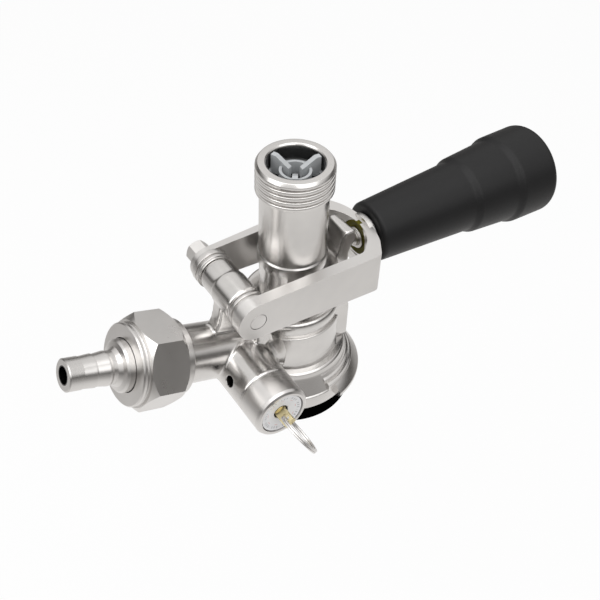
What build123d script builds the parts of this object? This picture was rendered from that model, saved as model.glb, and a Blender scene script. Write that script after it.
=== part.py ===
from build123d import *
from math import cos, radians, sin, sqrt
import os

# Keg coupler with a twist-lock base, a lever that lowers the probe, and a pull-out
# latch grip. Millimetres, +Z up, +X towards the grip. The origin lies on the probe's
# axis, in the face of the seal that sits on the keg valve. The lever is down.

# Clearances
RUN = 0.05            # radial, between a shaft and the hole it turns or slides in
FREE = 0.3            # between pieces that move past each other
PLAY = 0.5            # each side of a roller in the probe's slot, over the lever's arc

# Probe, a tube on the Z axis
TUBE_R = 10.2
THREAD_R = 11.456     # G 5/8
THREAD_PITCH = 1.814
THREAD_TURNS = 5
THREAD_DEPTH = 1.16
THREAD_CREST = 0.6
MOUTH_R = 8.2
MOUTH_DEPTH = 19.0    # from the rim to the ball's seat
BEER_R = 5.5
BALL_SEAT_Z = 70.0
SHOULDER_R = 10.65
SHOULDER_H = 3.8
GUIDE_R = 10.0
GUIDE_END_Z = 14.0
STEM_R = 7.8
TIP_Z = -11.0
TIP_SEAL_H = 7.1
TIP_SEAL_GROOVE = 1.0
TIP_LIP_H = 0.4
BALL_R = 6.35
BALL_LIFT = 2.5
CAGE_TOP_DEPTH = 0.4  # below the rim
CAGE_BAND_H = 3.2
CAGE_WALL = 0.8
CAGE_HUB_R = 1.8
CAGE_RING_R = 4.7
VANE_T = 1.6
VANE_FALL = 2.6       # slope of a vane's top towards the axis
VANE_FROM = -5.0      # degrees about Z

# Lever, pivoted beside the probe
PIVOT_X = -21.7
PIVOT_Z = 51.0
YOKE_HALF_W = 16.2
ARM_T = 3.8
ARM_END_R = 6.5
YOKE_REACH = 49.0     # from the pivot to the outside of the bow
BOW_T = 3.0
BOW_OUTER_R = 25.7
BOW_INNER_R = 14.9
YOKE_TOP = 5.7        # above the pivot, at the bow
YOKE_BOTTOM = 8.7     # below the pivot, at the bow
BOLT_R = 2.6
BOLT_HEAD_R = 4.05    # over the corners
BOLT_HEAD_T = 4.4
SPACER_R = 5.2
SPACER_RIM_R = 5.9
PIN_R = 2.0
PIN_DEPTH = 2.2       # into each arm
ROLLER_R = 2.6

# Latch and grip, on the lever's axis
PLUNGER_R = 2.5
PLUNGER_REACH = 2.5   # out of the bow's inner face
BUSH_R = 5.8
BUSH_T = 1.3
BUSH_PROUD = 0.2
BOSS_R = 7.0
CORE_R = 5.0
CORE_WALL = 0.9
CORE_LEN = 45.0
CORE_RIM_R = 6.6
CORE_END_T = 3.0
COLLAR_T = 1.6        # of the plunger, against the spring
LATCH_COIL_R = 3.3
LATCH_WIRE_R = 0.45
LATCH_COILS = 9
LATCH_SEAT = 1.0
SCREW_POCKET = 6.0
POCKET_R = 6.0
SCREW_LEN = 10.0
SCREW_HEAD_R = 4.9
SCREW_HEAD_T = 2.6
SCREW_KEY_R = 2.3
WASHER_DISC_T = 0.8
PLUG_T = 1.5
GRIP_LEN = 68.8
GRIP_GAP = 1.0
GRIP_NECK_R = 9.9
GRIP_WAIST_R = 11.8
GRIP_RING_R = 13.96
GRIP_END_R = 15.3

# Body casting, turned about the Z axis
SEAL_R = 20.5
SEAL_H = 6.3
SEAL_BORE_R = 9.5
SPIGOT_R = 14.0
SPIGOT_H = 3.0
NECK_SEAL_Z = (33.3, 36.7)
NECK_CORD_R = 1.2
GLAND_DEPTH = 2.5
FLOOR_T = 2.7
CHAMBER_R = 12.4
CHAMBER_TOP = 30.0
SKIRT_R = 21.0
BARREL_R = 14.3
RIM_R = 15.35
NECK_TOP = 39.4
LUG_R = 23.4
LUG_FROM = -78.0      # degrees about Z
LUG_SWEEP = 88.0
LABEL_FROM = -129.0
LABEL_SWEEP = 76.0
POST_IN_X = 13.6      # inner face of the catch post
POST_HALF_W = 5.0
NOSE_GAP = 0.5        # between the post's nose and the latch
FINGER_TOP = 59.5
HINGE_R = 5.1
HINGE_NEAR = 8.8
HINGE_FAR = 8.0
WEB_HALF_W = 2.4
RIB_HALF_W = 6.4

# Gas inlet, which leaves the body towards -X and rises
INLET_Z = 19.1
INLET_RISE = 18.4     # degrees
INLET_R = 9.0
INLET_BORE_R = 4.5
INLET_END = 54.0      # from the Z axis, along the inlet
CHECK_R = 6.6
CHECK_START = 43.0
CHECK_COLLAR_T = 1.6
NUT_START = 43.05
NUT_HEX_START = 46.0
NUT_HEX_END = 58.3
NUT_END = 60.64
NUT_FLATS = 26.0
NUT_BACK_R = 11.5
NUT_FRONT_R = 12.4
TAIL_END = 79.2
TAIL_TUBE_R = 5.04
TAIL_BORE_R = 2.6
TAIL_SHOULDER_R = 7.9
TAIL_SHOULDER_T = 5.6
BARB_PITCH = 4.1
BARB_CRESTS = (5.15, 4.95, 4.85)
BARB_FALL = 0.4
WASHER_T = 1.5
FLANGE_T = 2.0

# Relief valve, on a branch towards -Y under the pivot
VALVE_Z = 24.4
VALVE_R = 8.85
BRANCH_END = 20.6
VALVE_END = 30.1
CAP_SPIGOT = 5.6
CAP_END_T = 2.9
DIAL_DEPTH = 1.2
DIAL_T = 0.7
SEAT_Y = 9.0
SEAT_R = 3.0
POPPET_T = 2.7
SPRING_ROOM_R = 6.4
VALVE_COIL_R = 3.2
VALVE_WIRE_R = 0.4
VALVE_COILS = 5
STEM_PIN_R = 1.9
STEM_DISC_R = 4.2
STEM_DISC_T = 1.0
TAB_W = 4.4
TAB_T = 2.6
TAB_REACH = 2.1       # past the eye's centre
VENT_R = 1.9
VENT_Y = 13.2
VENT_RISE = 20.0      # degrees
EYE_Y = 32.3
EYE_R = 1.4
RING_R = 6.6          # mean
RING_W = 1.1
RING_T = 1.8
RING_LEAN = 30.6      # degrees that the ring's plane leans from vertical
RING_SEAM = 0.18

PROBE_TOP = BALL_SEAT_Z + MOUTH_DEPTH
BALL_REST_Z = BALL_SEAT_Z + sqrt(BALL_R**2 - BEER_R**2) + FREE
BOW_X = PIVOT_X + YOKE_REACH
BOW_IN_X = BOW_X - BOW_T
ARM_IN_Y = YOKE_HALF_W - ARM_T
GRIP_X = BOW_X + GRIP_GAP
GRIP_END_X = GRIP_X + GRIP_LEN
CORE_X = BOW_X + 0.1
CORE_END_X = CORE_X + CORE_LEN
SLOT_HALF_H = ROLLER_R + PLAY
SLOT_FLOOR_Y = TUBE_R - ROLLER_R
NOSE_X = BOW_IN_X - PLUNGER_REACH - NOSE_GAP
POST_ROOM = NOSE_X - POST_IN_X
GLAND_R = GUIDE_R + GLAND_DEPTH
POPPET_TOP = SEAT_Y + FREE + POPPET_T
DIAL_Y = VALVE_END - DIAL_DEPTH
SCREW_SEAT_X = GRIP_END_X - SCREW_POCKET


def turned(points):
    """Solid of revolution about Z from (radius, height) points."""
    return revolve(make_face(Polyline([(r, 0, h) for r, h in points], close=True)), Axis.Z)


def tube(outer, inner, low, high):
    return turned([(inner, low), (outer, low), (outer, high), (inner, high)])


def along(origin, direction, up=None):
    """Placement whose Z runs along a direction."""
    plane = Plane(origin, x_dir=up, z_dir=direction) if up else Plane(origin, z_dir=direction)
    return plane.location


def sector(solid, start, sweep):
    """The part of a turned solid between two azimuths."""
    reach = 200.0
    corners = [(0, 0)]
    for step in range(5):
        angle = radians(start + sweep * step / 4)
        corners.append((reach * cos(angle), reach * sin(angle)))
    wedge = extrude(make_face(Polyline(corners, close=True)), reach)
    return solid & wedge


def spring(radius, wire, length, turns):
    """Coil spring standing on the origin, along Z."""
    coil = Helix(pitch=(length - 2 * wire) / turns, height=length - 2 * wire, radius=radius)
    section = Plane(coil @ 0, z_dir=coil % 0) * Circle(wire)
    return Pos(0, 0, wire) * sweep(section, path=coil, is_frenet=True)


grip_axis = along((0, 0, PIVOT_Z), (1, 0, 0))
hinge_axis = along((PIVOT_X, 0, PIVOT_Z), (0, -1, 0))
rise = radians(INLET_RISE)
inlet_axis = along((0, 0, INLET_Z), (-cos(rise), 0, sin(rise)), (sin(rise), 0, cos(rise)))
valve_axis = along((PIVOT_X, 0, VALVE_Z), (0, -1, 0), (1, 0, 0))
ring_tilt = Rot(0, 0, RING_LEAN)


# Probe

def probe_tube():
    thread_low = PROBE_TOP - 0.9 - THREAD_TURNS * THREAD_PITCH
    root = THREAD_R - THREAD_DEPTH
    shoulder_low = PIVOT_Z + SLOT_HALF_H
    outer = [(TUBE_R, thread_low)]
    for turn in range(THREAD_TURNS):
        low = thread_low + turn * THREAD_PITCH + 0.35
        outer += [(THREAD_R, low), (THREAD_R, low + THREAD_CREST), (root, low + 2 * THREAD_CREST)]
    outer += [(THREAD_R - 0.1, PROBE_TOP - 0.75), (TUBE_R, PROBE_TOP)]
    groove_top = TIP_Z + TIP_LIP_H + TIP_SEAL_H
    low_end = [
        (BEER_R, TIP_Z),
        (STEM_R - TIP_SEAL_GROOVE, TIP_Z),
        (STEM_R - TIP_SEAL_GROOVE, groove_top),
        (STEM_R, groove_top),
        (STEM_R, GUIDE_END_Z - 2.0),
        (GUIDE_R, GUIDE_END_Z),
        (GUIDE_R, shoulder_low),
        (SHOULDER_R, shoulder_low),
        (SHOULDER_R, shoulder_low + SHOULDER_H - 0.5),
        (TUBE_R, shoulder_low + SHOULDER_H),
    ]
    mouth = [
        (MOUTH_R + 0.65, PROBE_TOP),
        (MOUTH_R, PROBE_TOP - 0.8),
        (MOUTH_R, BALL_SEAT_Z + (MOUTH_R - BEER_R)),
        (BEER_R, BALL_SEAT_Z),
    ]
    body = turned(low_end + outer + mouth)
    width = 2 * SHOULDER_R + 2.0
    depth = SHOULDER_R + 1.0 - SLOT_FLOOR_Y
    for side in (-1, 1):
        middle = side * (SLOT_FLOOR_Y + depth / 2)
        body -= Pos(0, middle, PIVOT_Z) * Box(width, depth, 2 * SLOT_HALF_H)
    return body


def probe_tip_seal():
    low = TIP_Z + TIP_LIP_H
    high = low + TIP_SEAL_H
    inner = STEM_R - TIP_SEAL_GROOVE
    rim = SEAL_BORE_R - FREE - 0.1
    slope = rim - STEM_R
    return turned([
        (inner, low), (rim - slope, low), (rim, low + slope), (rim, high - slope),
        (STEM_R, high), (inner, high)])


def valve_cage():
    """Three vanes and a thin ring that hold the check ball down in the mouth."""
    low = BALL_REST_Z + BALL_LIFT + BALL_R + FREE
    top = PROBE_TOP - CAGE_TOP_DEPTH
    outer = MOUTH_R - RUN
    vane_end = outer - CAGE_WALL / 2
    band_top = low + 1.0
    cage = tube(outer, outer - CAGE_WALL, band_top - CAGE_BAND_H, band_top)
    cage += tube(CAGE_RING_R, CAGE_RING_R - CAGE_WALL, low - CAGE_WALL, top - VANE_FALL)
    vane = make_face(Polyline(
        [(CAGE_HUB_R, 0, low), (vane_end, 0, low), (vane_end, 0, top),
         (CAGE_RING_R + VANE_T, 0, top), (CAGE_HUB_R, 0, top - VANE_FALL)], close=True))
    blade = extrude(vane, amount=VANE_T / 2, both=True)
    for turn in range(3):
        cage += Rot(0, 0, VANE_FROM + 120 * turn) * blade
    return cage


def check_ball():
    return Pos(0, 0, BALL_REST_Z) * Sphere(BALL_R)


# Body casting

def skirt():
    bottom = SEAL_H
    return turned([
        (0, bottom), (SKIRT_R - 0.4, bottom), (SKIRT_R, bottom + 0.4), (SKIRT_R - 0.2, bottom + 4.7),
        (SKIRT_R - 0.6, bottom + 5.1), (RIM_R + 2.9, bottom + 11.0), (RIM_R + 2.75, bottom + 11.5),
        (RIM_R + 2.55, bottom + 13.3), (RIM_R + 2.1, bottom + 13.7), (RIM_R, bottom + 14.0),
        (BARREL_R, bottom + 15.2), (BARREL_R, NECK_TOP - 6.0), (RIM_R - 0.3, NECK_TOP - 5.0),
        (RIM_R, NECK_TOP - 4.6), (RIM_R, NECK_TOP - 2.2), (RIM_R - 0.5, NECK_TOP - 0.9),
        (RIM_R - 1.7, NECK_TOP), (0, NECK_TOP),
    ])


def lugs():
    """Two bayonet lugs with stepped backs, half a turn apart."""
    low = SEAL_H + 1.4
    profile = turned([
        (BARREL_R, low), (LUG_R - 0.4, low), (LUG_R, low + 0.4), (LUG_R, low + 1.9),
        (LUG_R - 2.5, low + 4.5), (LUG_R - 2.7, low + 5.5), (LUG_R - 3.8, low + 5.9),
        (LUG_R - 4.0, low + 7.4), (LUG_R - 5.0, low + 7.8), (LUG_R - 5.2, low + 9.4),
        (LUG_R - 6.1, low + 9.8), (BARREL_R, low + 10.9),
    ])
    near = sector(profile, LUG_FROM, LUG_SWEEP)
    return near + Rot(0, 0, 180) * near


def label_panel():
    low = SEAL_H + 15.2
    return sector(tube(RIM_R - 0.35, BARREL_R - 1.0, low, NECK_TOP - 5.0), LABEL_FROM, LABEL_SWEEP)


def catch_finger():
    """Upright post on the +X side whose nose hangs over the latch."""
    nose_z = PIVOT_Z + 3.6
    low = SEAL_H + 11.7
    outer = NOSE_X - POST_ROOM * 0.38
    foot = NOSE_X - POST_ROOM * 0.53
    crest = NOSE_X - POST_ROOM * 0.28
    outline = Polyline(
        [(POST_IN_X - 1.3, 0, low), (foot, 0, low), (foot, 0, NECK_TOP - 6.0),
         (outer - 0.2, 0, NECK_TOP - 2.4), (outer, 0, PIVOT_Z - 1.5),
         (NOSE_X - POST_ROOM * 0.08, 0, nose_z - 1.2), (NOSE_X, 0, nose_z),
         (NOSE_X - POST_ROOM * 0.05, 0, nose_z + 1.2), (crest, 0, FINGER_TOP),
         (NOSE_X - POST_ROOM * 0.64, 0, FINGER_TOP), (NOSE_X - POST_ROOM * 0.82, 0, FINGER_TOP - 3.5),
         (POST_IN_X, 0, FINGER_TOP - 9.0), (POST_IN_X, 0, NECK_TOP - 1.4),
         (POST_IN_X - 1.3, 0, NECK_TOP - 4.4)],
        close=True)
    post = extrude(make_face(outline), amount=POST_HALF_W, both=True)
    sides = post.edges().filter_by(lambda edge: abs(edge.center().Y) > POST_HALF_W - 0.5)
    return fillet(sides, POST_ROOM * 0.09)


def hinge_web():
    """Web and ribs that carry the hinge barrel above the inlet."""
    low = VALVE_Z
    side = Polyline(
        [(PIVOT_X - 4.2, 0, PIVOT_Z - 1.5), (PIVOT_X + 4.6, 0, PIVOT_Z - 1.5),
         (PIVOT_X + 4.9, 0, PIVOT_Z - 6.5), (-BARREL_R + 1.0, 0, NECK_TOP - 4.0),
         (-BARREL_R + 3.0, 0, low), (PIVOT_X - 6.5, 0, low + 4.0), (PIVOT_X - 6.0, 0, PIVOT_Z - 13.0),
         (PIVOT_X - 4.4, 0, PIVOT_Z - 9.0)],
        close=True)
    web = extrude(make_face(side), amount=WEB_HALF_W, both=True)
    rib = Polyline(
        [(PIVOT_X - 3.2, 0, PIVOT_Z - 3.0), (PIVOT_X + 3.4, 0, PIVOT_Z - 3.0),
         (PIVOT_X + 4.4, 0, low), (PIVOT_X - 3.8, 0, low)],
        close=True)
    rib_solid = extrude(make_face(rib), amount=RIB_HALF_W, both=True)
    return web + rib_solid


def inlet_stub():
    thread_start = NUT_START + 1.5
    return turned([
        (0, 0), (INLET_R + 0.8, 0), (INLET_R + 0.8, 20.0), (INLET_R, 24.0),
        (INLET_R, thread_start), (INLET_R + 0.5, thread_start + 0.5),
        (INLET_R + 0.5, INLET_END - 0.8), (INLET_R - 0.3, INLET_END), (0, INLET_END),
    ])


def body_casting():
    body = skirt() + lugs() + label_panel() + catch_finger() + hinge_web()
    body += inlet_axis * inlet_stub()
    body += valve_axis * turned([
        (0, 0), (VALVE_R, 0), (VALVE_R, BRANCH_END - 0.3), (VALVE_R - 0.3, BRANCH_END), (0, BRANCH_END)])
    body += hinge_axis * Pos(0, 0, (HINGE_NEAR - HINGE_FAR) / 2) * Cylinder(
        HINGE_R, HINGE_NEAR + HINGE_FAR)
    return body - body_hollows()


def body_hollows():
    floor_low = SEAL_H + SPIGOT_H
    floor_high = floor_low + FLOOR_T
    guide = turned([
        (0, SEAL_H - 1.0), (SPIGOT_R, SEAL_H - 1.0), (SPIGOT_R, floor_low), (SEAL_BORE_R, floor_low),
        (SEAL_BORE_R, floor_high), (CHAMBER_R, floor_high), (CHAMBER_R, CHAMBER_TOP),
        (GUIDE_R + RUN, CHAMBER_TOP + 1.5), (GUIDE_R + RUN, NECK_TOP - 0.8),
        (GUIDE_R + RUN + 0.8, NECK_TOP), (GUIDE_R + RUN + 0.8, NECK_TOP + 60.0), (0, NECK_TOP + 60.0)])
    half = NECK_CORD_R + 0.1
    low_gland, high_gland = [tube(GLAND_R, GUIDE_R - 0.5, z - half, z + half) for z in NECK_SEAL_Z]
    passage = turned([
        (0, 8.0), (INLET_BORE_R, 8.0), (INLET_BORE_R, CHECK_START), (CHECK_R, CHECK_START),
        (CHECK_R, INLET_END + 1.0), (0, INLET_END + 1.0)])
    relief = turned([
        (0, -2.0), (SEAT_R, -2.0), (SEAT_R, SEAT_Y), (SPRING_ROOM_R, SEAT_Y),
        (SPRING_ROOM_R, BRANCH_END + 1.0), (0, BRANCH_END + 1.0)])
    vent_way = (-cos(radians(VENT_RISE)), 0, sin(radians(VENT_RISE)))
    vent = along((PIVOT_X, -VENT_Y, VALVE_Z), vent_way) * Pos(0, 0, VALVE_R) * Cylinder(
        VENT_R, 2 * (VALVE_R - SPRING_ROOM_R) + 2.0)
    bolt_hole = hinge_axis * Cylinder(BOLT_R + RUN, 60)
    hollows = guide + low_gland + high_gland + inlet_axis * passage + valve_axis * relief
    return hollows + vent + bolt_hole


def neck_seals():
    rings = [Pos(0, 0, z) * Torus(GUIDE_R + RUN + NECK_CORD_R, NECK_CORD_R) for z in NECK_SEAL_Z]
    return Compound(children=rings)


def keg_seal():
    top = SEAL_H + SPIGOT_H
    return turned([
        (SEAL_BORE_R + 0.8, 0), (SEAL_R - 0.8, 0), (SEAL_R, 0.8), (SEAL_R, SEAL_H),
        (SPIGOT_R, SEAL_H), (SPIGOT_R, top), (SEAL_BORE_R, top), (SEAL_BORE_R, 0.8)])


# Gas inlet fittings

def gas_check_valve():
    """Rubber duckbill whose collar is clamped behind the tail washer."""
    flange = INLET_END - CHECK_COLLAR_T
    body_r, bore_r = CHECK_R - 1.4, CHECK_R - 3.0
    cup = turned([
        (bore_r - 1.0, flange - 4.0), (bore_r + 0.6, flange - 5.9), (body_r, flange - 4.0),
        (body_r, flange), (CHECK_R, flange), (CHECK_R, INLET_END), (bore_r, INLET_END),
        (bore_r, flange - 3.0)])
    return inlet_axis * cup


def tail_washer():
    return inlet_axis * tube(INLET_R - 0.2, CHECK_R - 3.0, INLET_END, INLET_END + WASHER_T)


def tail_piece():
    start = INLET_END + WASHER_T
    shelf = start + FLANGE_T
    taper = shelf + TAIL_SHOULDER_T
    barb_start = TAIL_END - 3 * BARB_PITCH - 0.3
    points = [
        (TAIL_BORE_R, start), (INLET_R - 0.1, start), (INLET_R - 0.1, shelf),
        (TAIL_SHOULDER_R, shelf), (TAIL_SHOULDER_R, taper - 0.6), (TAIL_SHOULDER_R - 0.6, taper),
        (TAIL_TUBE_R + 0.9, taper + 0.5), (TAIL_TUBE_R, taper + 1.6), (TAIL_TUBE_R, barb_start - 0.6)]
    for barb, crest in enumerate(BARB_CRESTS):
        at = barb_start + BARB_PITCH * barb
        points += [(crest, at), (crest, at + BARB_FALL), (TAIL_TUBE_R - BARB_FALL, at + BARB_PITCH)]
    points[-1] = (TAIL_TUBE_R - BARB_FALL / 2, TAIL_END - 0.3)
    points += [(TAIL_TUBE_R - 1.5 * BARB_FALL, TAIL_END), (TAIL_BORE_R, TAIL_END)]
    return inlet_axis * turned(points)


def gas_nut():
    corner = NUT_FLATS / sqrt(3)
    chamfer = corner - NUT_FLATS / 2
    length = NUT_HEX_END - NUT_HEX_START
    prism = Pos(0, 0, NUT_HEX_START) * extrude(RegularPolygon(corner, 6, rotation=30), length)
    envelope = turned([
        (0, NUT_HEX_START), (NUT_FLATS / 2, NUT_HEX_START), (corner, NUT_HEX_START + chamfer),
        (corner, NUT_HEX_END - chamfer), (NUT_FLATS / 2, NUT_HEX_END), (0, NUT_HEX_END)])
    nut = prism & envelope
    nut += turned([
        (0, NUT_START), (NUT_BACK_R - 0.3, NUT_START), (NUT_BACK_R, NUT_START + 0.3),
        (NUT_BACK_R, NUT_HEX_START), (0, NUT_HEX_START)])
    nut += turned([
        (0, NUT_HEX_END), (NUT_FRONT_R, NUT_HEX_END), (NUT_FRONT_R, NUT_HEX_END + 0.6),
        (NUT_FRONT_R - 0.3, NUT_HEX_END + 0.9), (NUT_FRONT_R, NUT_HEX_END + 1.2),
        (NUT_FRONT_R, NUT_END - 0.4), (NUT_FRONT_R - 0.4, NUT_END), (0, NUT_END)])
    shelf = INLET_END + WASHER_T + FLANGE_T
    thread_r, throat_r = INLET_R + 0.55, TAIL_SHOULDER_R + 0.25
    hollow = turned([
        (0, NUT_START - 1.0), (thread_r + 0.4, NUT_START - 1.0), (thread_r, NUT_START + 0.8),
        (thread_r, shelf), (throat_r, shelf), (throat_r, NUT_END + 1.0), (0, NUT_END + 1.0)])
    return inlet_axis * (nut - hollow)


# Relief valve

def prv_cap():
    spigot_low = BRANCH_END - CAP_SPIGOT
    end_wall = DIAL_Y - CAP_END_T
    spigot_r, bore_r = SPRING_ROOM_R - 0.02, STEM_DISC_R + 0.4
    return valve_axis * turned([
        (bore_r, spigot_low), (spigot_r, spigot_low), (spigot_r, BRANCH_END),
        (VALVE_R - 0.3, BRANCH_END), (VALVE_R, BRANCH_END + 0.3), (VALVE_R, VALVE_END - 1.2),
        (VALVE_R - 0.4, VALVE_END - 0.4), (VALVE_R - 1.0, VALVE_END), (VALVE_R - 1.7, VALVE_END),
        (VALVE_R - 1.9, DIAL_Y), (STEM_PIN_R + 0.5, DIAL_Y), (STEM_PIN_R + 0.5, end_wall),
        (bore_r, end_wall)])


def prv_dial():
    """Thin dished disc in the cap's recess."""
    inner, outer = STEM_PIN_R + 0.4, VALVE_R - 1.95
    return valve_axis * turned([
        (inner, DIAL_Y), (outer, DIAL_Y), (outer, DIAL_Y + DIAL_T), (inner, DIAL_Y + DIAL_T / 3)])


def prv_stem():
    tab_start = VALVE_END - 0.4
    tab_end = EYE_Y + TAB_REACH
    disc_top = POPPET_TOP + STEM_DISC_T
    shaft = turned([
        (0, POPPET_TOP), (STEM_DISC_R, POPPET_TOP), (STEM_DISC_R, disc_top),
        (STEM_PIN_R, disc_top + 0.4), (STEM_PIN_R, tab_start), (0, tab_start)])
    tab = Pos(0, 0, (tab_start + tab_end) / 2) * Box(TAB_W, TAB_T, tab_end - tab_start)
    tab = tab & Pos(0, 0, tab_start) * Cylinder(TAB_W / 2 + 0.1, 2 * EYE_Y)
    eye = Pos(0, 0, EYE_Y) * Rot(90, 0, 0) * Cylinder(EYE_R, 4 * TAB_T)
    return valve_axis * ring_tilt * (shaft + (tab - eye))


def prv_poppet():
    low = SEAT_Y + FREE
    rim = SPRING_ROOM_R - 1.0
    return valve_axis * turned([
        (0, low), (rim - 0.2, low), (rim, low + 0.3), (rim, POPPET_TOP), (0, POPPET_TOP)])


def prv_spring():
    low, high = POPPET_TOP + STEM_DISC_T + 0.2, DIAL_Y - CAP_END_T - 0.2
    return valve_axis * Pos(0, 0, low) * spring(VALVE_COIL_R, VALVE_WIRE_R, high - low, VALVE_COILS)


def pull_ring():
    """Split ring of two turns, through the eye of the stem."""
    inner, outer, half, seam = RING_R - RING_W / 2, RING_R + RING_W / 2, RING_T / 2, RING_SEAM / 2
    hoop = turned([
        (inner, -half), (outer, -half), (outer, -seam), (outer - RING_SEAM, 0), (outer, seam),
        (outer, half), (inner, half), (inner, seam), (inner + RING_SEAM, 0), (inner, -seam)])
    return valve_axis * ring_tilt * Pos(0, 0, EYE_Y + RING_R) * Rot(0, 90, 0) * hoop


# Lever

def yoke_plan(end_x, half_w, arc_r, arc_end_x, corner_r):
    """Outline of the U seen from above, from a straight end to an arc at the bow."""
    arc_x = arc_end_x - arc_r
    meet_x = arc_x + sqrt(arc_r**2 - half_w**2)
    plan = make_face(
        Line((end_x, -half_w), (meet_x, -half_w))
        + ThreePointArc((meet_x, -half_w), (arc_end_x, 0), (meet_x, half_w))
        + Line((meet_x, half_w), (end_x, half_w))
        + Line((end_x, half_w), (end_x, -half_w)))
    return fillet(plan.vertices().sort_by(Axis.X)[-2:], corner_r)


def lever_yoke():
    reach = 20.0
    low = Pos(0, 0, PIVOT_Z - reach)
    tail = PIVOT_X - ARM_END_R - 2.0
    block = low * extrude(yoke_plan(tail, YOKE_HALF_W, BOW_OUTER_R, BOW_X, 2.5), 2 * reach)
    block = block & yoke_side()
    rims = block.edges().filter_by(lambda edge: abs(abs((edge @ 0.5).Y) - YOKE_HALF_W) < 0.01)
    block = fillet(rims, 0.6)
    window = low * extrude(yoke_plan(tail - 5.0, ARM_IN_Y, BOW_INNER_R, BOW_IN_X, 1.0), 2 * reach)
    frame = block - window
    low_end = (Align.CENTER, Align.CENTER, Align.MIN)
    boss_x = BOW_IN_X + 1.5
    frame += grip_axis * Pos(0, 0, boss_x) * Cylinder(BOSS_R, CORE_X - boss_x, align=low_end)
    bush_depth = 4.0
    frame -= grip_axis * Pos(0, 0, BOW_IN_X - bush_depth) * Cylinder(
        BUSH_R, bush_depth + BUSH_T - BUSH_PROUD, align=low_end)
    frame -= grip_axis * Pos(0, 0, BOW_IN_X) * Cylinder(CORE_R, 2 * BOW_T + 4.0, align=low_end)
    frame -= hinge_axis * Cylinder(BOLT_R, 4 * YOKE_HALF_W)
    for side in (-1, 1):
        frame -= Pos(0, side * ARM_IN_Y, PIVOT_Z) * Rot(90, 0, 0) * Cylinder(PIN_R, 2 * PIN_DEPTH)
    return frame


def yoke_side():
    """Side outline of the yoke, wide enough to cut both arms."""
    tangent = ARM_END_R
    top_slope = (YOKE_TOP - tangent) / YOKE_REACH
    low_slope = (YOKE_BOTTOM - tangent) / YOKE_REACH
    end_x = BOW_X + 3.0
    top_end = PIVOT_Z + tangent + top_slope * (YOKE_REACH + 3.0)
    low_end = PIVOT_Z - tangent - low_slope * (YOKE_REACH + 3.0)
    low_corner = PIVOT_Z - YOKE_BOTTOM
    outline = (
        Line((PIVOT_X, 0, PIVOT_Z + tangent), (end_x, 0, top_end))
        + Line((end_x, 0, top_end), (end_x, 0, low_end))
        + Line((end_x, 0, low_end), (PIVOT_X, 0, PIVOT_Z - tangent))
        + ThreePointArc((PIVOT_X, 0, PIVOT_Z - tangent), (PIVOT_X - tangent, 0, PIVOT_Z),
                        (PIVOT_X, 0, PIVOT_Z + tangent)))
    plate = extrude(make_face(outline), amount=YOKE_HALF_W + 2, both=True)
    nose = Pos(BOW_X, 0, low_corner) * Rot(0, 40, 0) * Box(2.6, 60, 2.6)
    return plate - nose


def hinge_bolt():
    shank = Cylinder(BOLT_R, 2 * YOKE_HALF_W)
    start = -YOKE_HALF_W - BOLT_HEAD_T
    head = Pos(0, 0, start) * extrude(RegularPolygon(BOLT_HEAD_R, 6, rotation=12), BOLT_HEAD_T)
    crown = turned([
        (0, start), (BOLT_HEAD_R - 0.55, start), (BOLT_HEAD_R, start + 0.5),
        (BOLT_HEAD_R, -YOKE_HALF_W), (0, -YOKE_HALF_W)])
    return hinge_axis * (shank + (head & crown))


def hinge_spacers():
    """A collared spacer at each end of the barrel."""
    bore, end = BOLT_R + RUN, ARM_IN_Y - 0.02
    near = turned([
        (bore, HINGE_NEAR), (SPACER_RIM_R, HINGE_NEAR), (SPACER_RIM_R, HINGE_NEAR + 0.9),
        (SPACER_R, HINGE_NEAR + 1.2), (SPACER_R, end - 0.7), (SPACER_R - 0.3, end - 0.5),
        (SPACER_R, end - 0.3), (SPACER_R, end), (bore, end)])
    far = turned([
        (bore, -end), (SPACER_RIM_R, -end), (SPACER_RIM_R, -end + 1.6), (SPACER_R, -end + 1.9),
        (SPACER_R, -HINGE_FAR), (bore, -HINGE_FAR)])
    return Compound(children=[hinge_axis * near, hinge_axis * far])


def drive_pins():
    pins = []
    for side in (-1, 1):
        low, high = SLOT_FLOOR_Y + 0.5, ARM_IN_Y + PIN_DEPTH
        pin = Pos(0, side * (low + high) / 2, PIVOT_Z) * Rot(90, 0, 0) * Cylinder(PIN_R, high - low)
        pins.append(pin)
    return Compound(children=pins)


def drive_rollers():
    rollers = []
    for side in (-1, 1):
        low, high = SLOT_FLOOR_Y + 0.6, ARM_IN_Y - 0.1
        roller = Cylinder(ROLLER_R, high - low) - Cylinder(PIN_R + RUN, high)
        rollers.append(Pos(0, side * (low + high) / 2, PIVOT_Z) * Rot(90, 0, 0) * roller)
    return Compound(children=rollers)


def latch_bush():
    low = BOW_IN_X - BUSH_PROUD
    return grip_axis * tube(BUSH_R, PLUNGER_R + RUN, low, low + BUSH_T)


def grip_core():
    """Tube screwed into the bow, which the grip slides on and which holds the spring."""
    start = BOW_IN_X + BUSH_T - BUSH_PROUD
    inside, bore = CORE_R - CORE_WALL, PLUNGER_R + RUN
    return grip_axis * turned([
        (bore, start), (CORE_R, start), (CORE_R, CORE_X), (CORE_RIM_R, CORE_X),
        (CORE_RIM_R, CORE_X + 0.5), (CORE_R, CORE_X + 0.5), (CORE_R, CORE_END_X),
        (bore, CORE_END_X), (bore, CORE_END_X - CORE_END_T), (inside, CORE_END_X - CORE_END_T),
        (inside, CORE_X + 1.0), (bore, CORE_X + 1.0)])


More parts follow.
